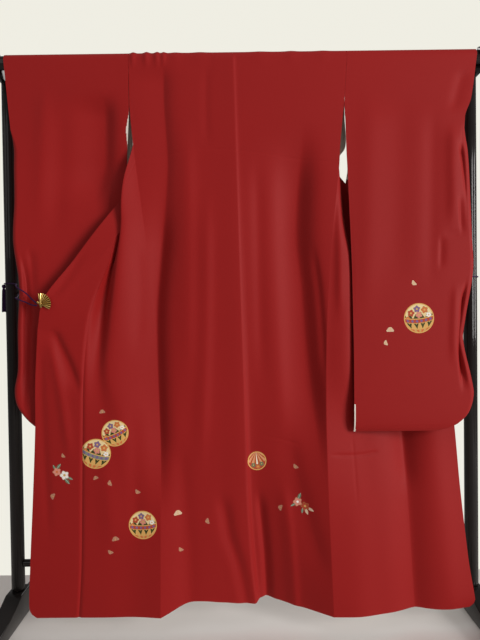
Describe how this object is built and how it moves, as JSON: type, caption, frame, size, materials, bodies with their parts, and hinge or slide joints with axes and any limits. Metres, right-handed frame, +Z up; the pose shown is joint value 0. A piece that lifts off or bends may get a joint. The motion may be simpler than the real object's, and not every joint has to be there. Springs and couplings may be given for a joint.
{
  "type": "furisode on a kimono stand",
  "caption": "Long-sleeved formal kimono spread over a lacquered stand with its back shown and its left front drawn out by a fan-shaped clip.",
  "frame": {"origin": "centre of the stand's base on the floor", "axes": "+Z up; X along the rod, -X on the wearer's left; -Y is the side from which the garment's back is seen"},
  "size_m": [1.52, 0.48, 1.671],
  "materials": {
    "silk_crepe": "deep red silk crepe with a soft sheen, scattered printed balls and flowers, pale lining inside",
    "black_lacquer": "glossy black lacquer",
    "gilt_metal": "polished gilt",
    "purple_braid": "matt braided cord"
  },
  "bodies": {
    "root": {"bracket_left": "black_lacquer", "bracket_right": "black_lacquer", "cord_left": "purple_braid", "cord_right": "purple_braid", "eri": "silk_crepe", "fan_clip_left": "gilt_metal", "fan_clip_right": "gilt_metal", "foot_left": "black_lacquer", "foot_right": "black_lacquer", "lower_rail": "black_lacquer", "migoro_left": "silk_crepe", "migoro_right": "silk_crepe", "okumi_left": "silk_crepe", "okumi_right": "silk_crepe", "post_left": "black_lacquer", "post_right": "black_lacquer", "rod": "black_lacquer", "sode_left": "silk_crepe", "sode_right": "silk_crepe", "tassel_left": "purple_braid", "tassel_right": "purple_braid"}
  },
  "joints": []
}
